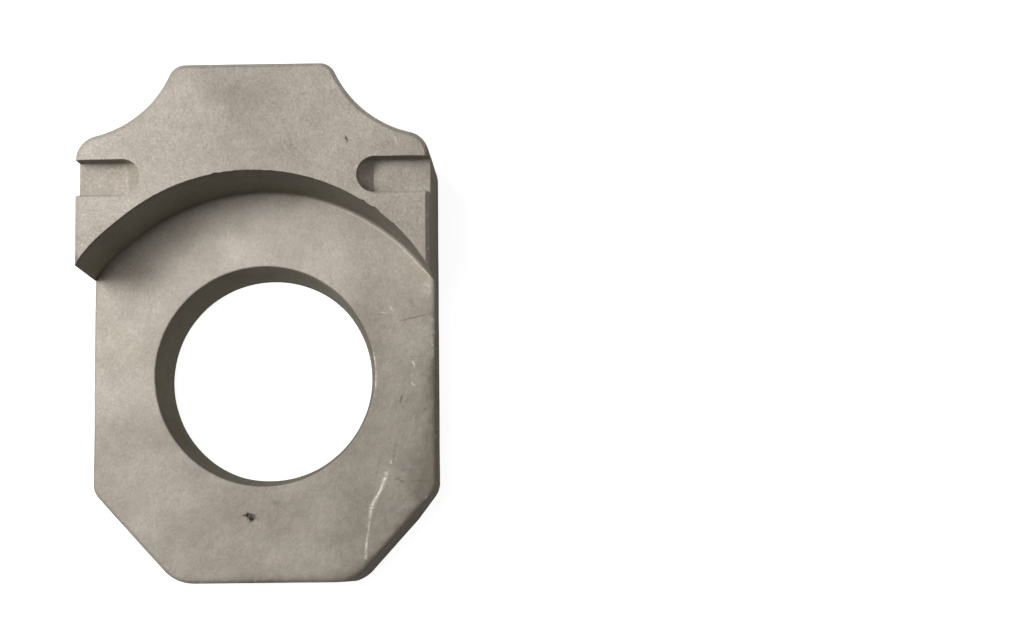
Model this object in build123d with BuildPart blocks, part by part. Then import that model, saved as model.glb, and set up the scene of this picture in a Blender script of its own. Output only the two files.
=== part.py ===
from build123d import *
import os

# Chain adjuster block: one aluminium casting that carries the rear axle in the
# swingarm. It lies on its back face. Millimetres.
# Origin on the axle bore's axis at the back face. +Z runs along the bore to the
# front, +Y points at the neck that the adjuster bolt pushes on, +X runs across.

# Outline
body_width = 41.6
neck_top = 36.0             # bore axis to the neck's end face
neck_width = 18.6           # across the sharp corners of the end face
neck_corner_radius = 2.0
flank_radius = 12.85        # concave sweep from the neck to each shoulder
shoulder_height = 27.3      # bore axis to where the sweep meets the side
shoulder_radius = 2.9
side_bottom = 13.9          # bore axis down to where each side turns to the tail
side_corner_radius = 2.5
tail_bottom = 25.0          # bore axis down to the tail's end face
tail_width = 21.5           # across the sharp corners of the end face
tail_corner_radius = 5.0

# Levels
block_thickness = 20.0
plate_thickness = 8.2       # left under the recess, where the bore runs

# Recess on the front, open past the tail; its wall leans in towards the floor
recess_mouth_radius = 24.2
recess_mouth_drop = 0.9     # arc centre below the bore axis
recess_foot_growth = 0.45   # the arc at the floor is larger by this much
recess_foot_shift = 1.3     # and its centre lower by this much

# Axle bore: a land at the back, then the casting's draft up to the recess
bore_radius = 12.5
bore_land = 3.0
bore_draft = 0.85           # radius gained from the land to the recess floor

# Guide slots across the shoulders, open at the sides
slot_width = 4.2
slot_depth = 2.8
slot_below_shoulder = 4.65  # shoulder height down to the slots' centre line
left_slot_length = 7.6
right_slot_length = 8.5

# Edges
front_edge_bevel = 0.5
floor_edge_radius = 0.5     # recess floor, where it meets the block's outside
bore_rim_radius = 0.2
back_edge_radius = 0.2

half_width = body_width / 2
cut_overrun = 5.0           # how far a cut runs out past the body


def recess_section(level, arc_radius, arc_drop):
    """The recess at one level: a round end towards the neck, open past the tail."""
    low = -tail_bottom - cut_overrun
    with BuildSketch(Plane.XY.offset(level)) as section:
        with BuildLine():
            ThreePointArc((-arc_radius, -arc_drop), (0, arc_radius - arc_drop), (arc_radius, -arc_drop))
            Polyline(
                (arc_radius, -arc_drop),
                (arc_radius, low),
                (-arc_radius, low),
                (-arc_radius, -arc_drop),
            )
        make_face()
    return section.sketch


with BuildPart() as adjuster_block:
    # Outline: one side drawn and mirrored, then closed across neck and tail
    with BuildSketch() as outline:
        with BuildLine():
            flank = RadiusArc((neck_width / 2, neck_top), (half_width, shoulder_height), -flank_radius)
            Polyline(flank @ 1, (half_width, -side_bottom), (tail_width / 2, -tail_bottom))
            mirror(about=Plane.YZ)
            Line((-neck_width / 2, neck_top), (neck_width / 2, neck_top))
            Line((-tail_width / 2, -tail_bottom), (tail_width / 2, -tail_bottom))
        make_face()
        for height, radius in (
            (neck_top, neck_corner_radius),
            (shoulder_height, shoulder_radius),
            (-side_bottom, side_corner_radius),
            (-tail_bottom, tail_corner_radius),
        ):
            fillet(outline.vertices().filter_by_position(Axis.Y, height - 0.01, height + 0.01), radius)
    extrude(amount=block_thickness)

    # Edges around the front and back faces
    chamfer(adjuster_block.faces().sort_by(Axis.Z)[-1].edges(), front_edge_bevel)
    fillet(adjuster_block.faces().sort_by(Axis.Z)[0].edges(), back_edge_radius)

    # Recess for the axle nut and its washer
    recess_foot = recess_section(
        plate_thickness,
        recess_mouth_radius + recess_foot_growth,
        recess_mouth_drop + recess_foot_shift,
    )
    recess_mouth = recess_section(block_thickness, recess_mouth_radius, recess_mouth_drop)
    loft([recess_foot, recess_mouth], mode=Mode.SUBTRACT)

    # Axle bore
    Hole(bore_radius)
    with Locations((0, 0, bore_land)):
        Cone(
            bore_radius,
            bore_radius + bore_draft,
            plate_thickness - bore_land,
            align=(Align.CENTER, Align.CENTER, Align.MIN),
            mode=Mode.SUBTRACT,
        )

    # Edges of the recess floor: the bore's rim, then all round but the wall's foot
    recess_floor = adjuster_block.faces().filter_by(Axis.Z).sort_by(Axis.Z)[1]
    fillet(recess_floor.inner_wires()[0].edges(), bore_rim_radius)
    recess_floor = adjuster_block.faces().filter_by(Axis.Z).sort_by(Axis.Z)[1]
    fillet(recess_floor.outer_wire().edges().sort_by(Axis.Y)[:-1], floor_edge_radius)

    # Guide slots
    with BuildSketch(Plane.XY.offset(block_thickness)):
        for side, length in ((-1, left_slot_length), (1, right_slot_length)):
            cut_length = length + cut_overrun
            cut_centre = half_width - length + cut_length / 2
            with Locations((side * cut_centre, shoulder_height - slot_below_shoulder)):
                SlotOverall(cut_length, slot_width)
    extrude(amount=-slot_depth, mode=Mode.SUBTRACT)

adjuster_block.part.label = "adjuster_block"

os.makedirs("parts", exist_ok=True)
export_step(adjuster_block.part, "parts/adjuster_block.step")
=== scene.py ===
import math

import bmesh
import bpy
import numpy as np
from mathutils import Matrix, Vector
from mathutils.geometry import delaunay_2d_cdt


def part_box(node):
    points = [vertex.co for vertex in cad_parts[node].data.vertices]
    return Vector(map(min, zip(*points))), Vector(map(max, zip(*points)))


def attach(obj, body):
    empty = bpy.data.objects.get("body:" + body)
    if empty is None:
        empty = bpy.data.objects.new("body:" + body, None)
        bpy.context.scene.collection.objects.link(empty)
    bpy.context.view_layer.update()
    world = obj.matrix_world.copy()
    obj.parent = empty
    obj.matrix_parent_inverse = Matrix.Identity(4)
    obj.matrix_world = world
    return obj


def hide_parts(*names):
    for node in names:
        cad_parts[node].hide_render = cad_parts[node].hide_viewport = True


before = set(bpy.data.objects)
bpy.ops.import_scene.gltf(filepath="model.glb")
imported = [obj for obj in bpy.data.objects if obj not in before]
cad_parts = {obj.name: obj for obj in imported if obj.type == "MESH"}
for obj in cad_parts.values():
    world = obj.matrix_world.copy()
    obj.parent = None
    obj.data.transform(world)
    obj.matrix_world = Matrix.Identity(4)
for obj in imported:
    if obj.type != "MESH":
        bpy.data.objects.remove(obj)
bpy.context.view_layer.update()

# Sizes are millimetres, as in the CAD model: origin on the bore's axis at the back face, Y towards the neck,
# Z towards the front

# Outline
HALF_WIDTH = 20.8
NECK_TOP = 36.0
NECK_HALF = 9.3
NECK_CORNER = 2.0
FLANK = 12.85
SHOULDER = 27.3
SHOULDER_CORNER = 2.9
SIDE_BOTTOM = 13.9
SIDE_CORNER = 2.5
TAIL = 25.0
TAIL_HALF = 10.75
TAIL_CORNER = 5.0

# Levels
FRONT = 20.0
PLATE = 8.2

# The recess wall's arcs at its mouth and foot: radius, and how far the centre lies below the bore's
MOUTH_RADIUS = 24.2
MOUTH_DROP = 0.9
FOOT_RADIUS = 24.65
FOOT_DROP = 2.2
# All of the wall lies above this y
WALL_FROM = 9.0

# Bore
BORE = 12.5
BORE_LAND = 3.0
BORE_MOUTH = 13.35

# Guide slots
SLOT_FLOOR = 17.2
SLOT_MIDDLE = 22.65
SLOT_HALF = 2.1
LEFT_SLOT = 7.6
RIGHT_SLOT = 8.5
SLOT_END_FOOT = 1.8
SLOT_END_RISE = 2.1

# Edges and fillets
FRONT_EDGE = 0.5
BORE_RIM = 0.2
BACK_EDGE = 0.2
FINE_EDGE = 0.1
RECESS_FILLET = 0.45
SLOT_FILLET = 0.3
SLOT_MOUTH_EDGE = 0.04
HAIR = 0.02
RUN_OUT = 1.2

# How this casting departs from its drawing
BACK_SHIFT = (0.15, -0.17)
BACK_GROWTH = 0.05
CORNER_FLARE = 0.42
FLARE_REACH = 1.8
# How far in from the block's side the flare has its full size
FLARE_FULL = 3.0
HORN_LIFT = 0.85
HORN_START = 15.4
HORN_REACH = 2.5
HORN_CURVE = 1.3
UNEVENNESS = 0.03
WAVES = (16.0, 9.0, 5.0, 3.2, 2.1)
WAVES_PER_LENGTH = 4
WAVE_POWER = 0.6
RIM_UNEVENNESS = 0.09
RIM_WAVES = (0.9, 0.6)
RIM_REACH = 0.3
RIM_DEPTH = 1.0

# Fineness of the mesh
SPACING = 0.24
QUARTER = np.linspace(0.0, math.pi / 2, 7)
FIRST_ROW = 1.0
ROW_STEP = 0.5
ROW_GAP = 0.1
WALL_COLUMNS = 280
WALL_ROWS = 22
BORE_COLUMNS = 280
CONE_ROWS = 12
LAND_ROWS = 7
SLOT_ROWS = 6
SLOT_SIDE_POINTS = 16
SLOT_END_POINTS = 33
SLOT_FLOOR_POINTS = 11
FACE_SPACING = 0.5
BACK_SPACING = 0.9
# Height of an even-sided triangle over its side
TRIANGLE_HEIGHT = 0.866
# How far a face's even points keep from the marks' finer ones and from the border, in shares of their
# spacing
CLEAR_OF_MARKS = 0.4
CLEAR_OF_BORDER = 0.55
# Points this near a mark may come closer to the border
NEAR_MARK = 0.2
# One in so many of the marks' points is enough to measure to
MARK_STRIDE = 7
SCRATCH_STRIP = 0.42
SCRATCH_STEP = 0.06
# Half the width of the fine strip under a mark, over half the mark's own width
MARK_STRIP = 2.2
MARK_STEP = 0.07
LEVEL_MATCH = 1e-6
SLIVER_AREA = 1e-5
SHARP_ANGLE = 32

# One millimetre in Blender's metres
METRES = 0.001


# Camera

CAMERA_PLACE = (0.035013, -0.020020, 0.271653)
CAMERA_TURN = (5.78677, 1.12876, -0.59486)
CAMERA_LENS = 76.657
SENSOR_WIDTH = 36.0


def add_camera():
    """The photograph's view: nearly straight down, from over the block's lower right."""
    data = bpy.data.cameras.new("photo_camera")
    data.sensor_width = SENSOR_WIDTH
    data.lens = CAMERA_LENS
    data.clip_start = 0.01
    data.clip_end = 10.0
    camera = bpy.data.objects.new("photo_camera", data)
    camera.location = CAMERA_PLACE
    camera.rotation_euler = [math.radians(angle) for angle in CAMERA_TURN]
    bpy.context.scene.collection.objects.link(camera)
    bpy.context.scene.camera = camera


add_camera()
bpy.context.scene.view_settings.view_transform = "Standard"


# Node helpers and colours

def linear(code):
    """An sRGB hex code as linear RGBA."""
    parts = [int(code[k:k + 2], 16) / 255 for k in (0, 2, 4)]
    return [p / 12.92 if p <= 0.04045 else ((p + 0.055) / 1.055) ** 2.4 for p in parts] + [1.0]


def node(tree, kind, settings=None, inputs=None):
    """Adds a shader node, sets its properties, and sets or links its inputs."""
    made = tree.nodes.new(kind)
    for name, value in (settings or {}).items():
        setattr(made, name, value)
    for name, value in (inputs or {}).items():
        if isinstance(value, bpy.types.NodeSocket):
            tree.links.new(value, made.inputs[name])
        else:
            made.inputs[name].default_value = value
    return made


def maths(tree, operation, a, b=0.0, c=0.0):
    """One Math node's result."""
    return node(tree, "ShaderNodeMath", {"operation": operation}, {0: a, 1: b, 2: c}).outputs[0]


# Numbers that fade

def rise(value, start, end):
    """0 before start, 1 past end and a straight line between them. start may be the larger one."""
    return np.clip((value - start) / (end - start), 0.0, 1.0)


def bell(distance, reach):
    """1 at no distance, falling off as e to the minus square of distance over reach."""
    return np.exp(-((distance / reach) ** 2))


def spot(points, x, y, reach):
    """A bell round a place in plan."""
    return bell(np.hypot(points[:, 0] - x, points[:, 1] - y), reach)


# Outline of the block

def arc_run(centre, radius, start, end, hollow=False):
    """Points at even steps on a circle between two angles, and the block's outward normal at each.
    The normal points to the circle's centre where the outline is hollow."""
    count = max(int(abs(end - start) * radius / SPACING), 8)
    angle = np.linspace(start, end, count + 1)
    ray = np.stack((np.cos(angle), np.sin(angle)), axis=1)
    return np.concatenate((np.asarray(centre) + radius * ray, -ray if hollow else ray), axis=1)


def line_run(a, b):
    """Points at even steps from a to b, and the normal to the left of the way gone."""
    a, b = np.asarray(a, float), np.asarray(b, float)
    length = np.linalg.norm(b - a)
    way = (b - a) / length
    t = np.linspace(0.0, 1.0, max(int(length / SPACING), 2) + 1)[:, None]
    points = a + (b - a) * t
    normals = np.broadcast_to((-way[1], way[0]), points.shape)
    return np.concatenate((points, normals), axis=1)


def joined(*runs):
    """Runs end to end, each shared end point kept once."""
    return np.concatenate([run[:-1] for run in runs[:-1]] + [runs[-1]])


def mirrored(run):
    """A run's mirror image in x, gone the other way, so that its left is still outside."""
    return run[::-1] * (-1, 1, -1, 1)


def neck_and_shoulders():
    """From the left slot's top edge over the neck to the right slot's: flat end, corner arcs, hollow flank
    arcs and shoulder arcs, each tangent to the next."""
    a = np.array((NECK_HALF, NECK_TOP))
    b = np.array((HALF_WIDTH, SHOULDER))
    chord = b - a
    length = np.linalg.norm(chord)
    side = np.array((-chord[1], chord[0])) / length
    hollow = (a + b) / 2 + side * math.sqrt(FLANK**2 - length**2 / 4)
    neck_y = NECK_TOP - NECK_CORNER
    neck_x = hollow[0] - math.sqrt((FLANK + NECK_CORNER) ** 2 - (hollow[1] - neck_y) ** 2)
    shoulder_x = HALF_WIDTH - SHOULDER_CORNER
    shoulder_reach = FLANK + SHOULDER_CORNER
    shoulder_y = hollow[1] - math.sqrt(shoulder_reach**2 - (hollow[0] - shoulder_x) ** 2)
    neck_turn = math.atan2(hollow[1] - neck_y, hollow[0] - neck_x)
    shoulder_turn = math.atan2(hollow[1] - shoulder_y, hollow[0] - shoulder_x)
    right = joined(
        line_run((0, NECK_TOP), (neck_x, NECK_TOP)),
        arc_run((neck_x, neck_y), NECK_CORNER, math.pi / 2, neck_turn),
        arc_run(hollow, FLANK, math.pi + neck_turn, math.pi + shoulder_turn, hollow=True),
        arc_run((shoulder_x, shoulder_y), SHOULDER_CORNER, shoulder_turn, 0.0),
        line_run((HALF_WIDTH, shoulder_y), (HALF_WIDTH, SLOT_MIDDLE + SLOT_HALF)),
    )
    return joined(mirrored(right), right)


def cut_corner():
    """The outward normal of the right cut-off corner: a quarter turn from the line of its two ends."""
    way = np.array((TAIL_HALF - HALF_WIDTH, SIDE_BOTTOM - TAIL))
    return np.array((-way[1], way[0])) / np.linalg.norm(way)


def sides_and_tail(start):
    """From the right side at a height round the tail to the left side: straight runs and corner arcs.
    Also the y at which the straight side ends."""
    out = cut_corner()
    turn = math.atan2(out[1], out[0])
    side_x = HALF_WIDTH - SIDE_CORNER
    side_y = -SIDE_BOTTOM - SIDE_CORNER * (1 - out[0]) / out[1]
    tail_y = TAIL_CORNER - TAIL
    tail_x = HALF_WIDTH - (TAIL_CORNER + (tail_y + SIDE_BOTTOM) * out[1]) / out[0]
    side_arc = arc_run((side_x, side_y), SIDE_CORNER, 0.0, turn)
    tail_arc = arc_run((tail_x, tail_y), TAIL_CORNER, turn, -math.pi / 2)
    right = joined(
        line_run((HALF_WIDTH, start), side_arc[0, :2]),
        side_arc,
        line_run(side_arc[-1, :2], tail_arc[0, :2]),
        tail_arc,
        line_run(tail_arc[-1, :2], (0, -TAIL)),
    )
    return joined(right, mirrored(right)), side_y


# Curved and upright surfaces

PIECES = []


def add_grid(points, edge, closed=False, flip=False):
    """Keeps a grid of points as quads. edge is how much of a rounded edge each point is, from 0 to 1."""
    rows, columns = points.shape[:2]
    i = np.arange(rows if closed else rows - 1)[:, None]
    j = np.arange(columns - 1)[None, :]
    here, there = i * columns + j, (i + 1) % rows * columns + j
    quads = np.stack((here, here + 1, there + 1, there), axis=2).reshape(-1, 4)
    edge = np.broadcast_to(edge, (rows, columns)).ravel()
    PIECES.append((points.reshape(-1, 3), quads[:, ::-1] if flip else quads, edge))


def arc_height(x, z):
    """The recess wall's y at a given x and level: the arc between the mouth's and the foot's."""
    t = rise(z, PLATE, FRONT)
    radius = FOOT_RADIUS + (MOUTH_RADIUS - FOOT_RADIUS) * t
    drop = FOOT_DROP + (MOUTH_DROP - FOOT_DROP) * t
    return np.sqrt(radius**2 - x**2) - drop


def edge_profile(top, radius):
    """Heights and insets up the outer wall: a quarter circle at the back, then straight, then a flat bevel
    round the front or a quarter circle round the recess floor. Also how much of an edge each row is."""
    straight = np.arange(FIRST_ROW, top - radius - ROW_GAP, ROW_STEP)
    climb = 1 - np.cos(QUARTER) if top > PLATE else np.sin(QUARTER)
    height = np.concatenate((
        BACK_EDGE * (1 - np.cos(QUARTER)),
        straight,
        top - radius + radius * climb,
    ))
    inset = np.concatenate((
        BACK_EDGE * (1 - np.sin(QUARTER)),
        0 * straight,
        radius * (1 - np.cos(QUARTER)),
    ))
    edge = np.concatenate((np.sin(2 * QUARTER), 0 * straight, np.sin(2 * QUARTER)))
    return height, inset, edge


def add_wall(run, top, radius, follow=None):
    """An outer wall: the edge profile carried along a run of the outline, moved in along its normal.
    follow = (fixed y, moved y) stretches a straight side so that its end stays on the recess wall."""
    height, inset, edge = edge_profile(top, radius)
    x = run[:, None, 0] - run[:, None, 2] * inset
    y = run[:, None, 1] - run[:, None, 3] * inset
    z = np.broadcast_to(height, x.shape)
    if follow:
        fixed, moved = follow
        share = rise(run[:, None, 1], fixed, moved)
        end = arc_height(np.abs(x), z if top > PLATE else 0 * z + PLATE)
        y = y + share * (end - moved)
    points = np.stack((x, y, z), axis=2)
    add_grid(points, edge)
    return points


def wall_rows(low, high, foot, climb, slope, rim, count):
    """Heights and steps into the hollow, up a wall with a foot and a rounded rim, per column. The foot is
    foot wide and climb high: an elliptic fillet where slope is 0, a straight ramp where it is 1."""
    low, high, foot, climb, slope, rim = (
        np.asarray(value, float)[:, None] for value in (low, high, foot, climb, slope, rim)
    )
    t = np.linspace(0.0, 1.0, count + 2)[1:-1]
    start = low + climb
    stop = high - rim
    even = QUARTER / QUARTER[-1]
    height = np.concatenate((
        low + climb * ((1 - np.cos(QUARTER)) * (1 - slope) + even * slope),
        start + (stop - start) * t,
        stop + rim * np.sin(QUARTER),
    ), axis=1)
    into = np.concatenate((
        foot * ((1 - np.sin(QUARTER)) * (1 - slope) + (1 - even) * slope),
        0 * (start + t),
        -rim * (1 - np.cos(QUARTER)),
    ), axis=1)
    edge = np.concatenate((0 * QUARTER, 0 * t, np.sin(QUARTER)))
    return height, into, edge


def side_rounding(x, top):
    """Height of the upper edge at a given x near the block's side: on the front's bevel down by as much as
    outwards, on the floor's rounding down a quarter circle."""
    past = np.clip(np.abs(x) - (HALF_WIDTH - FRONT_EDGE), 0.0, FRONT_EDGE)
    if top > PLATE:
        return top - past
    return top - FRONT_EDGE + np.sqrt(FRONT_EDGE**2 - past**2)


def fading(x, size):
    """A small radius that runs out to a hair before the block's side."""
    side = HALF_WIDTH - FRONT_EDGE
    return HAIR + (size - HAIR) * rise(np.abs(x), side, side - RUN_OUT)


def add_recess_wall():
    """The leaning wall: arcs from foot to mouth, a fillet at the foot and a small round at the rim.
    Returns the foot's and the rim's border points from left to right."""
    limit = HALF_WIDTH - FRONT_EDGE
    last = math.acos(limit / MOUTH_RADIUS)
    x = MOUTH_RADIUS * np.cos(np.linspace(math.pi - last, last, WALL_COLUMNS))
    outer = limit + FRONT_EDGE * np.sin(QUARTER[1:])
    x = np.concatenate((-outer[::-1], x, outer))
    low, high = side_rounding(x, PLATE), side_rounding(x, FRONT)
    foot = fading(x, RECESS_FILLET)
    height, into, edge = wall_rows(low, high, foot, foot, 0 * x, fading(x, FINE_EDGE), WALL_ROWS)
    drop = FOOT_DROP + (MOUTH_DROP - FOOT_DROP) * rise(height, PLATE, FRONT)
    flat_x = np.broadcast_to(x[:, None], height.shape)
    y = arc_height(flat_x, height)
    size = np.hypot(flat_x, y + drop)
    points = np.stack((flat_x * (1 - into / size), y - into * (y + drop) / size, height), axis=2)
    add_grid(points, edge, flip=True)
    inner = slice(len(outer), len(x) - len(outer))
    return points[inner, 0], points[inner, -1]


def add_slot(side, length):
    """A guide slot: wall along both sides and the round end, whose ramp has an ellipse for its foot, and a
    floor ruled across it. Returns the rim's border points from its upper edge round to its lower edge."""
    centre_x = HALF_WIDTH - length + SLOT_HALF
    outer = HALF_WIDTH - FRONT_EDGE + FRONT_EDGE * np.sin(QUARTER[1:])[::-1]
    straight = np.concatenate((outer, np.linspace(HALF_WIDTH - FRONT_EDGE, centre_x, SLOT_SIDE_POINTS)))
    turn = np.linspace(math.pi / 2, 3 * math.pi / 2, SLOT_END_POINTS)[1:-1]
    x = np.concatenate((straight, centre_x + SLOT_HALF * np.cos(turn), straight[::-1]))
    y = np.concatenate((0 * straight + SLOT_HALF, SLOT_HALF * np.sin(turn), 0 * straight - SLOT_HALF))
    inward_x = np.concatenate((0 * straight, -np.cos(turn), 0 * straight))
    inward_y = np.concatenate((0 * straight - 1, -np.sin(turn), 0 * straight + 1))
    end = rise(x, centre_x, centre_x - SLOT_HALF)
    deep, wide = SLOT_HALF - SLOT_END_FOOT, SLOT_HALF - SLOT_FILLET
    ellipse = 1 / np.hypot(end / deep, np.sqrt(1 - end**2) / wide)
    fillet = fading(x, SLOT_FILLET)
    foot = np.where(end > 0, SLOT_HALF - ellipse, fillet)
    climb = fillet + (SLOT_END_RISE - SLOT_FILLET) * end
    low, high = 0 * x + SLOT_FLOOR, side_rounding(x, FRONT)
    height, into, edge = wall_rows(low, high, foot, climb, end, fading(x, FINE_EDGE), SLOT_ROWS)
    points = np.stack((
        side * (x[:, None] + inward_x[:, None] * into),
        SLOT_MIDDLE + y[:, None] + inward_y[:, None] * into,
        height,
    ), axis=2)
    add_grid(points, edge, flip=side < 0)
    half = (len(x) + 1) // 2
    upper, lower = points[:half, 0], points[::-1, 0][:half]
    t = np.linspace(0.0, 1.0, SLOT_FLOOR_POINTS)[None, :, None]
    add_grid(upper[:, None] + (lower - upper)[:, None] * t, 0.0, flip=side < 0)
    keep = slice(len(outer), len(x) - len(outer))
    return points[keep, -1]


def add_bore():
    """The bore: a round rim, the draft's cone, the land and a small round at the back, turned about Z.
    Towards the back its centre moves and it grows a little, as cast. Returns its border circles at the
    recess floor and at the back face."""
    angle = np.linspace(0.0, 2 * math.pi, BORE_COLUMNS, endpoint=False)
    cone = np.linspace(PLATE - BORE_RIM, BORE_LAND, CONE_ROWS)[1:]
    land = np.linspace(BORE_LAND, FINE_EDGE, LAND_ROWS)[1:]
    last = QUARTER[2::2]
    slope = (BORE_MOUTH - BORE) / (PLATE - BORE_LAND)
    radius = np.concatenate((
        BORE_MOUTH + BORE_RIM * (1 - np.sin(QUARTER)),
        BORE + slope * (cone - BORE_LAND),
        0 * land + BORE,
        BORE + FINE_EDGE * (1 - np.cos(last)),
    ))
    height = np.concatenate((
        PLATE - BORE_RIM * (1 - np.cos(QUARTER)),
        cone,
        land,
        FINE_EDGE * (1 - np.sin(last)),
    ))
    edge = np.concatenate((np.sin(2 * QUARTER), 0 * cone, 0 * land, 0 * last))
    share = 1 - height / PLATE
    radius = radius + BACK_GROWTH * share
    points = np.stack((
        np.cos(angle)[:, None] * radius + BACK_SHIFT[0] * share,
        np.sin(angle)[:, None] * radius + BACK_SHIFT[1] * share,
        np.broadcast_to(height, (len(angle), len(height))),
    ), axis=2)
    add_grid(points, edge, closed=True)
    return points[:, 0], points[:, -1]


# Marks seen on the recess floor and on the front, in the CAD frame

SCRATCH = np.array((
    (15.3, -10.6), (14.8, -11.7), (14.15, -13.6), (13.4, -15.0),
    (12.84, -16.2), (12.6, -17.9), (12.2, -20.8), (12.1, -22.0),
))
# Along the scratch, from 0 to 1: half its width, and how bright it is
SCRATCH_WIDTH = (
    (0.0, 0.12, 0.35, 0.5, 0.7, 0.9, 1.0),
    (0.12, 0.2, 0.19, 0.25, 0.14, 0.14, 0.19),
)
SCRATCH_FORCE = (
    (0.07, 0.1, 0.3, 0.48, 0.58, 0.8, 0.9, 1.0),
    (0.0, 0.9, 0.9, 1.0, 0.5, 0.5, 0.85, 0.7),
)
SCRATCH_DEPTH = 0.04
PIT_DEPTH = 0.22
# How far down the recess floor's rounded edge the marks still reach
FLOOR_REACH = 0.22
# Each mark: where it starts and ends, half its width, and how strong it is
DARK_MARKS = (
    ((-2.5, -16.88), (-1.94, -16.87), 0.11, 0.9),
    ((-2.0, -16.86), (-1.28, -17.07), 0.22, 1.6),
    ((-1.68, -17.26), (-1.48, -17.32), 0.2, 1.4),
    ((-1.7, -17.6), (-1.55, -17.62), 0.11, 0.6),
    ((-2.0, -17.15), (-2.0, -17.55), 0.14, 0.35),
    ((1.25, -15.45), (1.5, -15.45), 0.28, 0.24),
    ((2.4, -15.45), (3.0, -15.5), 0.22, 0.2),
    ((11.1, 26.92), (11.15, 26.8), 0.13, 0.8),
    ((16.5, -3.3), (16.65, -2.95), 0.11, 0.5),
    ((19.4, -4.4), (19.5, -4.3), 0.11, 0.4),
    ((15.95, -8.6), (15.7, -10.0), 0.22, 0.22),
    ((16.0, -12.7), (16.15, -12.65), 0.12, 0.4),
    ((16.5, -12.9), (16.7, -13.0), 0.11, 0.4),
    ((17.8, 2.0), (17.95, 1.6), 0.12, 0.28),
    ((16.7, 6.5), (17.6, 6.75), 0.1, 0.3),
    ((17.6, 6.75), (19.5, 7.17), 0.09, 0.42),
    ((19.5, 7.17), (21.0, 7.5), 0.09, 0.3),
    ((17.9, 2.1), (20.1, 2.2), 0.07, 0.2),
    ((16.8, -11.6), (17.9, -11.5), 0.08, 0.25),
    ((18.0, -12.9), (20.3, -13.1), 0.09, 0.2),
    ((17.8, 9.1), (18.1, 8.3), 0.25, 0.2),
    ((-20.2, 20.48), (-15.2, 20.5), 0.09, 0.42),
    ((13.9, 20.46), (20.2, 20.48), 0.08, 0.3),
)
LIGHT_MARKS = (
    ((15.4, 8.1), (15.5, 7.9), 0.2, 0.6),
    ((14.3, 7.55), (14.8, 7.5), 0.09, 0.4),
    ((18.0, 1.5), (18.15, 1.1), 0.13, 0.7),
    ((18.0, -1.2), (18.05, -1.3), 0.09, 0.6),
    ((15.25, -10.55), (15.3, -10.7), 0.13, 0.7),
    ((16.7, 27.0), (17.2, 26.1), 0.08, 0.4),
    # The next five are painted glints: bright dots along the right side of the bore's rim and along the
    # recess floor's right edge.
    ((13.3, 2.7), (13.5, 1.0), 0.09, 0.9),
    ((13.56, 0.4), (13.48, -1.5), 0.07, 0.7),
    ((20.4, 4.3), (20.4, 3.4), 0.09, 0.8),
    ((20.42, 3.0), (20.42, 2.2), 0.08, 0.6),
    ((20.42, 6.6), (20.42, 6.45), 0.12, 0.9),
    ((19.9, 10.8), (19.8, 10.1), 0.6, 0.3),
)
# Nicks in the recess's rim: where, and how far they go into the front
NICKS = (
    (14.7, 18.3, 0.16),
    (14.35, 18.6, 0.12),
    (13.1, 19.4, 0.09),
    (16.6, 16.7, 0.08),
    (-4.4, 22.9, 0.1),
)
NICK_REACH = 0.28
NICK_DEPTH = 0.8


def distance_to(points, line):
    """Each point's distance to a line of several runs, and how far along it the nearest spot is, 0 to 1.
    The nearest spot on a run is the foot of the perpendicular, held between the run's ends."""
    a, b = line[:-1], line[1:]
    way = b - a
    length = np.linalg.norm(way, axis=1)
    t = np.einsum("nmk,mk->nm", points[:, None] - a, way) / length**2
    t = np.clip(t, 0.0, 1.0)
    gap = np.linalg.norm(points[:, None] - (a + way * t[..., None]), axis=2)
    nearest = gap.argmin(axis=1)
    done = np.concatenate(((0,), np.cumsum(length)))
    row = np.arange(len(points))
    return gap[row, nearest], (done[nearest] + t[row, nearest] * length[nearest]) / done[-1]


def strongest(points, marks):
    """The strongest of several short marks at each point, each fading out from its line as a bell."""
    shades = [
        strength * bell(distance_to(points[:, :2], np.array((start, end)))[0], width)
        for start, end, width, strength in marks
    ]
    return np.max(shades, axis=0)


def mark_strengths(points):
    """How strong the long scratch, the dark marks and the light marks are at each point of the two faces."""
    on_floor = (points[:, 2] > PLATE - FLOOR_REACH) & (points[:, 2] < PLATE + LEVEL_MATCH)
    on_front = np.abs(points[:, 2] - FRONT) < LEVEL_MATCH
    flat = on_floor | on_front
    gap, along = distance_to(points[:, :2], SCRATCH)
    width = np.interp(along, *SCRATCH_WIDTH)
    force = np.interp(along, *SCRATCH_FORCE)
    scratch = force * bell(gap, width) * on_floor
    dark = np.minimum(strongest(points, DARK_MARKS), 1.0) * flat
    light = strongest(points, LIGHT_MARKS) * flat
    return scratch, dark, light


def strip_points(line, half_width, step):
    """Points at even steps along a line and across it, for a fine mesh under a mark."""
    length = np.linalg.norm(np.diff(line, axis=0), axis=1)
    done = np.concatenate(((0,), np.cumsum(length)))
    along = np.arange(-half_width, done[-1] + half_width, step)
    middle = np.stack((np.interp(along, done, line[:, 0]), np.interp(along, done, line[:, 1])), axis=1)
    way = np.gradient(middle, axis=0)
    way = way / np.maximum(np.linalg.norm(way, axis=1, keepdims=True), 1e-9)
    left = np.stack((-way[:, 1], way[:, 0]), axis=1)
    across = np.arange(-half_width, half_width + step / 2, step)
    return (middle[:, None] + left[:, None] * across[:, None]).reshape(-1, 2)


# Flat faces

def inside(points, loops):
    """True where an upward ray from a point crosses the closed loops an odd number of times."""
    crossed = np.zeros(len(points), bool)
    for loop in loops:
        a, b = loop, np.roll(loop, -1, axis=0)
        px, py = points[:, None, 0], points[:, None, 1]
        spans = (a[:, 0] > px) != (b[:, 0] > px)
        run = np.where(np.abs(b[:, 0] - a[:, 0]) < 1e-12, 1e-12, b[:, 0] - a[:, 0])
        y = a[:, 1] + (px - a[:, 0]) / run * (b[:, 1] - a[:, 1])
        crossed ^= (np.sum(spans & (y > py), axis=1) % 2).astype(bool)
    return crossed


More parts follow.
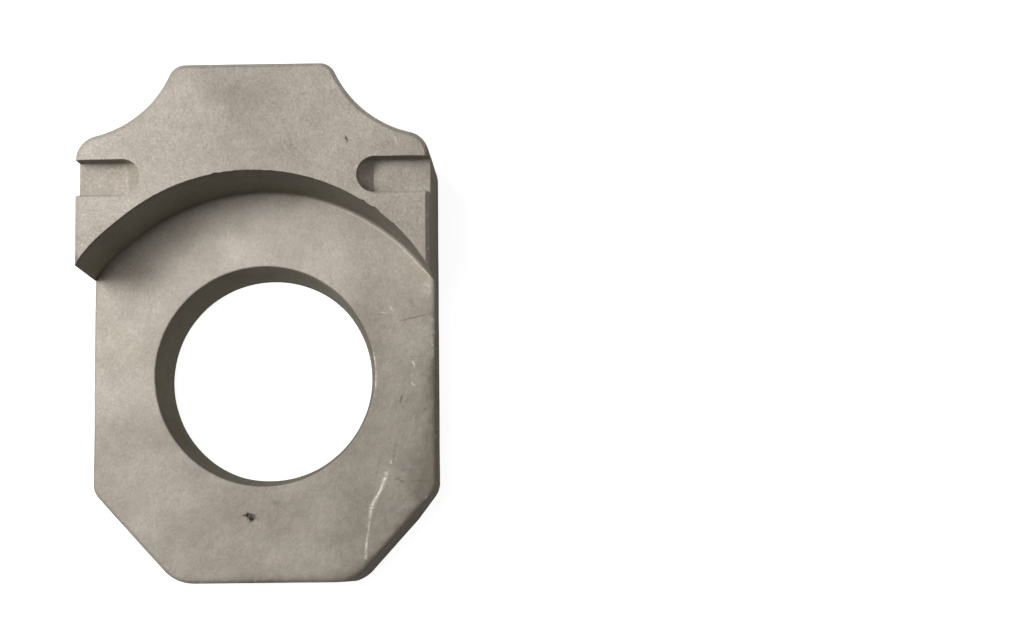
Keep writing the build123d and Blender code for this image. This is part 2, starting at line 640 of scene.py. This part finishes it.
def nearest_gap(spots, others):
    """Each spot's distance to the nearest of other points."""
    return np.linalg.norm(spots[:, None] - others[None], axis=2).min(axis=1)


def add_flat(loops, level, spacing, extra=None, down=False):
    """A flat face inside closed loops: evenly staggered points and the loops' own, in Delaunay triangles.
    Slivers without area, between points of one straight border, are left out."""
    loops = [loop[:, :2] for loop in loops]
    border = np.concatenate(loops)
    low, high = border.min(axis=0), border.max(axis=0)
    x = np.arange(low[0], high[0], spacing)
    y = np.arange(low[1], high[1], spacing * TRIANGLE_HEIGHT)
    grid = np.stack(np.meshgrid(x, y), axis=2)
    grid[1::2, :, 0] += spacing / 2
    spots = grid.reshape(-1, 2)
    if extra is not None:
        sample = extra[::MARK_STRIDE]
        spots = np.concatenate((spots[nearest_gap(spots, sample) > spacing * CLEAR_OF_MARKS], extra))
    spots = spots[inside(spots, loops)]
    clear = nearest_gap(spots, border) > spacing * CLEAR_OF_BORDER
    if extra is not None:
        clear |= nearest_gap(spots, sample) < NEAR_MARK
    spots = spots[clear]
    starts = np.cumsum([0] + [len(loop) for loop in loops])
    ties = np.concatenate([
        np.stack((np.arange(len(loop)), np.roll(np.arange(len(loop)), -1)), axis=1) + start
        for loop, start in zip(loops, starts)
    ])
    flat = np.concatenate((border, spots))
    found = delaunay_2d_cdt(flat.tolist(), ties.tolist(), [], 0, 1e-6, False)
    points = np.array([tuple(v) for v in found[0]])
    triangles = np.array(found[2])
    corners = points[triangles]
    one, two = corners[:, 1] - corners[:, 0], corners[:, 2] - corners[:, 0]
    area = np.abs(one[:, 0] * two[:, 1] - one[:, 1] * two[:, 0]) / 2
    triangles = triangles[inside(corners.mean(axis=1), loops) & (area > SLIVER_AREA)]
    full = np.concatenate((points, np.full((len(points), 1), level)), axis=1)
    PIECES.append((full, triangles[:, ::-1] if down else triangles, np.zeros(len(full))))


def add_surfaces():
    """All surfaces of the block: outer walls, recess wall, slots and bore, and between their borders the
    front, the recess floor and the back."""
    slot_top = SLOT_MIDDLE + SLOT_HALF
    slot_bottom = SLOT_MIDDLE - SLOT_HALF
    arc_end = float(arc_height(HALF_WIDTH, PLATE))
    tail_run, side_y = sides_and_tail(arc_end)
    slot_run = line_run((HALF_WIDTH, slot_top), (HALF_WIDTH, slot_bottom))
    horn_run = line_run((HALF_WIDTH, slot_bottom), (HALF_WIDTH, arc_end))
    horn_end = (slot_bottom, arc_end)

    neck = add_wall(neck_and_shoulders(), FRONT, FRONT_EDGE)
    right_gap = add_wall(slot_run, SLOT_FLOOR, SLOT_MOUTH_EDGE)
    right_horn = add_wall(horn_run, FRONT, FRONT_EDGE, follow=horn_end)
    tail = add_wall(tail_run, PLATE, FRONT_EDGE, follow=(side_y, arc_end))
    left_horn = add_wall(mirrored(horn_run), FRONT, FRONT_EDGE, follow=horn_end)
    left_gap = add_wall(mirrored(slot_run), SLOT_FLOOR, SLOT_MOUTH_EDGE)
    foot, rim = add_recess_wall()
    right_rim = add_slot(1, RIGHT_SLOT)
    left_rim = add_slot(-1, LEFT_SLOT)
    bore_front, bore_back = add_bore()

    marks = np.concatenate([strip_points(SCRATCH, SCRATCH_STRIP, SCRATCH_STEP)] + [
        strip_points(np.array((start, end)), MARK_STRIP * width, MARK_STEP)
        for start, end, width, _ in DARK_MARKS + LIGHT_MARKS
    ])
    front = np.concatenate((
        neck[1:-1, -1], right_rim, right_horn[1:-1, -1], rim[::-1], left_horn[1:-1, -1], left_rim[::-1],
    ))
    floor = np.concatenate((tail[:-1, -1], foot))
    back = np.concatenate([
        wall[:-1, 0] for wall in (neck, right_gap, right_horn, tail, left_horn, left_gap)
    ])
    add_flat([front], FRONT, FACE_SPACING, marks)
    add_flat([floor, bore_front], PLATE, FACE_SPACING, marks)
    add_flat([back, bore_back], 0.0, BACK_SPACING, down=True)


# The casting's own unevenness

def corner_gap(points):
    """Distance inwards from the plane of the nearer cut-off lower corner."""
    out = cut_corner()
    plane = HALF_WIDTH * out[0] - SIDE_BOTTOM * out[1]
    return plane - np.abs(points[:, 0]) * out[0] - points[:, 1] * out[1]


def flared(points):
    """The lower corners' walls pushed out towards the back, most at the back edge and not at all at the
    floor. The push fades out as a bell inwards and in a straight line towards the block's side."""
    out = cut_corner()
    along = rise(np.abs(points[:, 0]), HALF_WIDTH, HALF_WIDTH - FLARE_FULL)
    depth = rise(points[:, 2], PLATE, 0.0)
    push = CORNER_FLARE * along * bell(corner_gap(points), FLARE_REACH) * depth
    points = points.copy()
    points[:, 0] += push * out[0] * np.sign(points[:, 0])
    points[:, 1] += push * out[1]
    return points


def lifted_horn(points):
    """The recess wall's left end and the faces beside it moved towards the neck: most at the block's side,
    and fading out with the distance from the wall."""
    x, y, z = points.T
    share = rise(x, -HORN_START, -HALF_WIDTH) ** HORN_CURVE
    gap = y - arc_height(np.clip(x, -HALF_WIDTH, HALF_WIDTH), z)
    points = points.copy()
    points[:, 1] += HORN_LIFT * share * bell(gap, HORN_REACH)
    return points


def wobble(points, size, seed, waves=WAVES):
    """Unevenness in x, y and z, mostly within size: a sum of sine waves of the given lengths in random
    directions, the longer ones stronger."""
    dice = np.random.default_rng(seed)
    total = np.zeros_like(points)
    for wave in waves:
        for _ in range(WAVES_PER_LENGTH):
            way = dice.normal(size=3)
            way = way / np.linalg.norm(way) * 2 * math.pi / wave
            push = dice.normal(size=3) * (wave / WAVES[0]) ** WAVE_POWER
            total += np.sin(points @ way + dice.uniform(0, 2 * math.pi))[:, None] * push
    return total * size / WAVES_PER_LENGTH


def wall_gaps(points):
    """Each point's distance in plan to the recess wall's foot arc and to its mouth arc. Below the wall's
    ends, where the same circles go on, it is endless."""
    x, y = points[:, 0], points[:, 1]
    beside = np.where(y > WALL_FROM, 0.0, np.inf)
    foot = np.abs(np.hypot(x, y + FOOT_DROP) - FOOT_RADIUS)
    rim = np.abs(np.hypot(x, y + MOUTH_DROP) - MOUTH_RADIUS)
    return foot + beside, rim + beside


def as_cast(points):
    """The drawing's points moved to where this casting has them: flared corners, lifted horn, unevenness all
    over, a rougher rim round the recess, and nicks in it."""
    below = FRONT - points[:, 2]
    rim_share = bell(wall_gaps(points)[1], RIM_REACH) * (below < RIM_DEPTH)
    points = lifted_horn(flared(points))
    all_over = wobble(points, UNEVENNESS, seed=5)
    along_rim = wobble(points, RIM_UNEVENNESS, seed=8, waves=RIM_WAVES) * rim_share[:, None]
    points = points + all_over + along_rim
    for x, y, depth in NICKS:
        near = spot(points, x, y, NICK_REACH) * (below < NICK_DEPTH)
        points[:, :2] += depth * near[:, None] * np.array((x, y)) / math.hypot(x, y)
    return points


# What the material reads at each point

def film_and_shade_over(points):
    """How much grey film and painted shade cover each spot: they grow to the right and below the bore, away
    from the lamps, and are darkest along the right side and the lower right corner. On the front they are
    thin, with one film cloud on the neck and one on the left horn, and painted shade down in the slots. The
    outer walls beside the front have the front's."""
    x, y, z = points.T
    right = rise(x, -18.0, 20.0)
    low = rise(y, -2.0, -6.0)
    high = rise(y, 4.0, 13.0)
    corner = np.exp(-np.clip(corner_gap(points), 0.0, None) / 0.5) * (x > 0)
    side = np.exp((x - HALF_WIDTH + FRONT_EDGE) / 0.7) * rise(y, 9.0, 1.0)
    tail = np.exp(-(y + TAIL - FRONT_EDGE) / 0.5) * np.maximum(rise(x, -8.0, 6.0), 0.2)
    floor = 0.06 + 0.56 * right * (1 - 0.65 * high) + 0.3 * low * (1 - 0.6 * right)
    floor += 0.5 * corner + 0.4 * side + 0.4 * tail + 0.35 * spot(points, 19.3, -13.8, 1.3)

    left_end = LEFT_SLOT - SLOT_HALF - HALF_WIDTH
    left_ramp = rise(x, left_end - 0.5, left_end) * (x < 0)
    slot = rise(z, FRONT, FRONT - 2.6) * (1 - left_ramp)
    neck_cloud = spot(points, -2.0, 31.0, 5.0)
    horn_cloud = spot(points, -17.7, 15.8, 1.3)
    front = 0.08 + 0.31 * right + 0.28 * neck_cloud + 0.15 * horn_cloud + 0.18 * slot

    past_recess = y - arc_height(np.clip(x, -HALF_WIDTH, HALF_WIDTH), PLATE)
    upper_end = rise(past_recess, 0.3, 0.6)
    outer_wall = rise(z, PLATE, PLATE - 1.5) * rise(y, 2.0, 11.0)
    share = np.where(z > PLATE + 1.0, 1.0, np.maximum(upper_end, outer_wall))
    return np.clip(floor + (front - floor) * share, 0.0, 1.0)


def painted_shade_over(points):
    """Painted shade, in a dark brown, along the left part of the recess wall's foot, under its rim and on
    the front's right bevel.
    """
    x, z = points[:, 0], points[:, 2]
    foot_gap, rim_gap = wall_gaps(points)
    above, below = z - PLATE, FRONT - z
    foot = np.exp(-(foot_gap + np.clip(above, 0.0, None)) / 0.5) * (above > -0.1) * rise(x, 9.0, 1.0)
    under_rim = np.exp(-below / 0.9) * (below > 0.02) * (rim_gap < 0.5)
    bevel = HALF_WIDTH - FRONT_EDGE
    right_bevel = rise(x, bevel + 0.02, bevel + 0.12) * (below < 0.55)
    return np.max((foot, 0.7 * under_rim, 0.6 * right_bevel), axis=0)


def painted_foot_highlight(points):
    """A painted highlight: a thin bright line along the right part of the recess wall's foot."""
    above = points[:, 2] - PLATE
    near = (above > 0.001) & (wall_gaps(points)[0] < 0.5)
    return bell(above, 0.05) * near * rise(points[:, 0], 4.0, 10.0)


def slot_ends(points):
    """1 at the tips of the slots' round ends, fading out to 0 where their straight part begins."""
    x, y, z = points.T
    past = HALF_WIDTH - np.where(x > 0, RIGHT_SLOT, LEFT_SLOT) + SLOT_HALF - np.abs(x)
    gap = np.hypot(np.clip(past, 0.0, None), y - SLOT_MIDDLE)
    in_slot = (gap < SLOT_HALF + 0.15) & (z > SLOT_FLOOR - 0.1)
    return in_slot * np.clip(past / SLOT_HALF + 0.15, 0.0, 1.0)


# Block

def weld(mesh):
    """Joins points that lie on each other along the pieces' shared borders."""
    work = bmesh.new()
    work.from_mesh(mesh)
    bmesh.ops.remove_doubles(work, verts=work.verts, dist=2e-6)
    bmesh.ops.dissolve_degenerate(work, edges=work.edges, dist=1e-7)
    work.to_mesh(mesh)
    work.free()


def block_mesh():
    """All surfaces of the block as one mesh, with the marks pressed in and stored as attributes."""
    add_surfaces()
    drawn = np.concatenate([piece[0] for piece in PIECES])
    edge = np.concatenate([piece[2] for piece in PIECES])
    starts = np.cumsum([0] + [len(piece[0]) for piece in PIECES])
    corners = np.concatenate([(piece[1] + start).ravel() for piece, start in zip(PIECES, starts)])
    sizes = np.concatenate([np.full(len(piece[1]), piece[1].shape[1]) for piece in PIECES])

    scratch, dark, light = mark_strengths(drawn)
    stored = {
        # The scratch and the light marks, among them painted glints
        "scratch": np.maximum(scratch, light),
        "pit": dark,
        "edge": edge,
        # Grey film and painted shade
        "film_and_shade": film_and_shade_over(drawn),
        # Painted shade in brown
        "painted_shade": painted_shade_over(drawn),
        # A painted highlight along the recess wall's foot
        "foot_highlight": painted_foot_highlight(drawn),
        "slot_round": slot_ends(drawn),
    }
    points = as_cast(drawn)
    points[:, 2] -= SCRATCH_DEPTH * scratch + PIT_DEPTH * dark**2
    low, high = (np.array(corner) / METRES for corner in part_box("adjuster_block"))
    points = np.clip(points, low, high)

    mesh = bpy.data.meshes.new("adjuster_block_skin")
    mesh.vertices.add(len(points))
    mesh.vertices.foreach_set("co", (points * METRES).ravel())
    mesh.loops.add(len(corners))
    mesh.loops.foreach_set("vertex_index", corners.astype(np.int32))
    mesh.polygons.add(len(sizes))
    mesh.polygons.foreach_set("loop_start", (np.cumsum(sizes) - sizes).astype(np.int32))
    for name, values in stored.items():
        attribute = mesh.attributes.new(name, "FLOAT", "POINT")
        attribute.data.foreach_set("value", values.astype(np.float32))
    mesh.update(calc_edges=True)
    mesh.validate()
    weld(mesh)
    mesh.shade_smooth()
    mesh.set_sharp_from_angle(angle=math.radians(SHARP_ANGLE))
    return mesh


# Material

METAL_DARK = "b5aca0"
METAL_LIGHT = "c1b9ae"
MOTTLE = "a0978b"
BLOTCH = "978e81"
LIGHT_FLECK = "e8e2d6"
DARK_FLECK = "746c5f"
FILM_AND_SHADE = "746c60"
OLIVE_SKIN_AND_SHADE = "686249"
SHADE_BROWN = "4a4032"
BARE_METAL_AND_GLINT = "e2dccf"
PIT = "16120d"

# Sizes of the patterns in millimetres. The blasting's own pits are about 0.1 mm; the grain and the flecks
# are drawn about three times as coarse, so that they show.
CLOUD_SIZE = 9.0
MOTTLE_SIZE = 3.4
BLOTCH_SIZE = 1.0
WEAR_SIZE = 0.9
RAGGED_SIZE = 0.5
DARK_FLECK_SIZE = 0.36
GRAIN_SIZE = 0.32
LIGHT_FLECK_SIZE = 0.27


def blasted_aluminium():
    """Cast aluminium, bead-blasted and dulled by oxide: matt warm grey, mottled in slow clouds, with a fine
    grain of light and dark flecks that is stronger on the front face. Oxide hides most of the metal, so it
    mirrors little. Walls are darker and olive, partly casting skin and partly painted shade. A grey film
    with painted shade darkens the right and lower parts and the slots, and painted shade in brown lies along
    the recess wall's foot and rim and on the right bevel. The pits are dark; scratches and a few worn spots
    shine bare, and painted glints and a painted highlight shine with them."""
    material = bpy.data.materials.new("bead_blasted_cast_aluminium")
    material.use_nodes = True
    tree = material.node_tree
    tree.nodes.clear()
    coords = node(tree, "ShaderNodeTexCoord")
    place = coords.outputs["Object"]

    def noise(size, detail, roughness=0.5):
        """Cloudy noise whose largest lumps are about size millimetres across."""
        made = node(
            tree, "ShaderNodeTexNoise", None,
            {"Vector": place, "Scale": 1 / (size * METRES), "Detail": detail, "Roughness": roughness},
        )
        return made.outputs["Fac"]

    def stored(name):
        """One of the mesh's attributes."""
        return node(tree, "ShaderNodeAttribute", {"attribute_name": name}).outputs["Fac"]

    def ramp(value, start, end):
        """0 before start, 1 past end and a straight line between them."""
        return node(tree, "ShaderNodeMapRange", None, {0: value, 1: start, 2: end}).outputs[0]

    def times(a, b):
        """The product of two values."""
        return maths(tree, "MULTIPLY", a, b)

    def scaled(value, factor, start):
        """value times factor, plus start."""
        return maths(tree, "MULTIPLY_ADD", value, factor, start)

    def covered(under, share, over):
        """A colour with a share of it covered by another."""
        made = node(tree, "ShaderNodeMix", {"data_type": "RGBA"}, {0: share, 6: under, 7: linear(over)})
        return made.outputs[2]

    # Where on the block, in metres
    upright = node(tree, "ShaderNodeSeparateXYZ", None, {0: coords.outputs["Normal"]}).outputs["Z"]
    wall = ramp(maths(tree, "ABSOLUTE", upright), 0.66, 0.25)
    wall = times(wall, scaled(stored("slot_round"), -1.0, 1.0))
    at = node(tree, "ShaderNodeSeparateXYZ", None, {0: place}).outputs
    on_front = ramp(at["Z"], 0.0155, 0.0168)
    outward = ramp(maths(tree, "ABSOLUTE", at["X"]), 0.007, 0.017)
    # Where the walls get less olive skin and painted shade: towards the right, short of the outer side
    rightward = times(ramp(at["X"], 0.005, 0.019), ramp(at["X"], 0.0207, 0.0204))

    # Patterns
    cloud = ramp(noise(CLOUD_SIZE, 3.0), 0.32, 0.68)
    mottle = ramp(noise(MOTTLE_SIZE, 4.0, 0.6), 0.3, 0.7)
    blotch = ramp(noise(BLOTCH_SIZE, 3.0, 0.6), 0.35, 0.65)
    grain = noise(GRAIN_SIZE, 3.0, 0.7)
    ragged = ramp(noise(RAGGED_SIZE, 3.0, 0.6), 0.36, 0.56)
    coarse = scaled(on_front, 0.4, 0.6)
    light_fleck = times(ramp(noise(LIGHT_FLECK_SIZE, 3.0, 0.75), 0.5, 0.74), coarse)
    dark_fleck = times(ramp(noise(DARK_FLECK_SIZE, 3.0, 0.75), 0.5, 0.74), coarse)

    # Blasted metal
    colour = covered(linear(METAL_DARK), cloud, METAL_LIGHT)
    colour = covered(colour, times(mottle, 0.28), MOTTLE)
    colour = covered(colour, times(times(blotch, coarse), 0.2), BLOTCH)
    colour = covered(colour, times(light_fleck, scaled(outward, 0.24, 0.4)), LIGHT_FLECK)
    colour = covered(colour, times(dark_fleck, 0.46), DARK_FLECK)

    # Grey film with painted shade, olive casting skin with painted wall shade, and painted shade in brown
    film_and_shade = times(stored("film_and_shade"), scaled(cloud, -0.5, 1.25))
    colour = covered(colour, times(film_and_shade, scaled(blotch, 0.16, 0.92)), FILM_AND_SHADE)
    # Walls darker and olive: partly casting skin, partly painted shade, none on the slots' round ends
    colour = covered(colour, times(wall, scaled(rightward, -0.34, 0.56)), OLIVE_SKIN_AND_SHADE)
    # Painted shade in brown along the recess wall's foot and rim and on the right bevel
    colour = covered(colour, times(stored("painted_shade"), 0.7), SHADE_BROWN)

    # Bare spots, painted glints and a painted highlight, and pitted spots
    # Worn spots and painted glints along the rounded edges
    worn_edge_and_glint = times(times(stored("edge"), ramp(noise(WEAR_SIZE, 3.0, 0.6), 0.62, 0.7)), 0.5)
    # The scratch and the light marks, among them painted glints, shine bare
    bare_and_glint = maths(tree, "MAXIMUM", times(stored("scratch"), ragged), worn_edge_and_glint)
    # A painted highlight along the recess wall's foot
    bare_and_glint = maths(tree, "MAXIMUM", bare_and_glint, times(stored("foot_highlight"), 0.5))
    colour = covered(colour, times(bare_and_glint, 0.8), BARE_METAL_AND_GLINT)
    colour = covered(colour, times(stored("pit"), scaled(ragged, 0.5, 0.5)), PIT)

    rough = scaled(wall, 0.3, scaled(bare_and_glint, -0.15, scaled(mottle, 0.08, 0.6)))
    relief = maths(tree, "MULTIPLY_ADD", grain, coarse, times(blotch, 0.3))
    bump = node(
        tree, "ShaderNodeBump", None,
        {"Strength": 0.95, "Distance": 0.08 * METRES, "Height": relief},
    )
    shader = node(
        tree, "ShaderNodeBsdfPrincipled", None,
        {
            "Base Color": colour,
            "Metallic": scaled(wall, -0.2, 0.2),
            "Roughness": rough,
            "Specular IOR Level": 0.35,
            "Normal": bump.outputs[0],
        },
    )
    node(tree, "ShaderNodeOutputMaterial", None, {"Surface": shader.outputs[0]})
    return material


block = bpy.data.objects.new("chain_adjuster_block", block_mesh())
block.data.materials.append(blasted_aluminium())
bpy.context.scene.collection.objects.link(block)
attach(block, "root")
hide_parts("adjuster_block")


# Floor, light and world, in metres and watts

WHITE = "ffffff"
PAPER = "b0b0b0"
PAPER_GLOW = 0.92
FLOOR_HALF = 1.5
AIR_GLOW = 0.02
# Each softbox: its place, the length of its side, and its power
SOFTBOXES = {
    "key": ((-0.225, 0.058, 0.372), 0.13, 0.96),
    "high": ((-0.12, 0.03, 0.43), 0.22, 0.75),
    "upper": ((-0.17, 0.16, 0.372), 0.1, 0.37),
    "right": ((0.42, 0.0, 0.24), 0.4, 0.3),
}


def add_floor():
    """A plain white floor. It looks white to the camera and in the metal, and keeps the block's shadow."""
    mesh = bpy.data.meshes.new("floor")
    half = FLOOR_HALF
    corners = [(-half, -half, 0), (half, -half, 0), (half, half, 0), (-half, half, 0)]
    mesh.from_pydata(corners, [], [(0, 1, 2, 3)])
    floor = bpy.data.objects.new("floor", mesh)
    bpy.context.scene.collection.objects.link(floor)
    material = bpy.data.materials.new("white_paper")
    material.use_nodes = True
    tree = material.node_tree
    tree.nodes.clear()
    path = node(tree, "ShaderNodeLightPath")
    seen = maths(tree, "MAXIMUM", path.outputs["Is Camera Ray"], path.outputs["Is Glossy Ray"])
    seen = maths(tree, "MAXIMUM", seen, path.outputs["Is Transmission Ray"])
    paper = node(tree, "ShaderNodeBsdfDiffuse", None, {"Color": linear(PAPER)})
    strength = maths(tree, "MULTIPLY", seen, PAPER_GLOW)
    glow = node(tree, "ShaderNodeEmission", None, {"Color": linear(WHITE), "Strength": strength})
    both = node(tree, "ShaderNodeAddShader", None, {0: paper.outputs[0], 1: glow.outputs[0]})
    node(tree, "ShaderNodeOutputMaterial", None, {"Surface": both.outputs[0]})
    mesh.materials.append(material)


def add_softbox(name, place, size, power):
    """A square white lamp that faces the block's origin."""
    data = bpy.data.lights.new(name, "AREA")
    data.shape = "SQUARE"
    data.size = size
    data.energy = power
    data.color = linear(WHITE)[:3]
    lamp = bpy.data.objects.new(name, data)
    lamp.location = place
    lamp.rotation_euler = (-Vector(place)).to_track_quat("-Z", "Y").to_euler()
    bpy.context.scene.collection.objects.link(lamp)


def add_world():
    """A faint even light from all round, which lifts the deepest shadows."""
    world = bpy.data.worlds.new("studio")
    bpy.context.scene.world = world
    world.use_nodes = True
    tree = world.node_tree
    tree.nodes.clear()
    air = node(tree, "ShaderNodeBackground", None, {"Color": linear(WHITE), "Strength": AIR_GLOW})
    node(tree, "ShaderNodeOutputWorld", None, {"Surface": air.outputs[0]})


add_floor()
for name, settings in SOFTBOXES.items():
    add_softbox(name, *settings)
add_world()
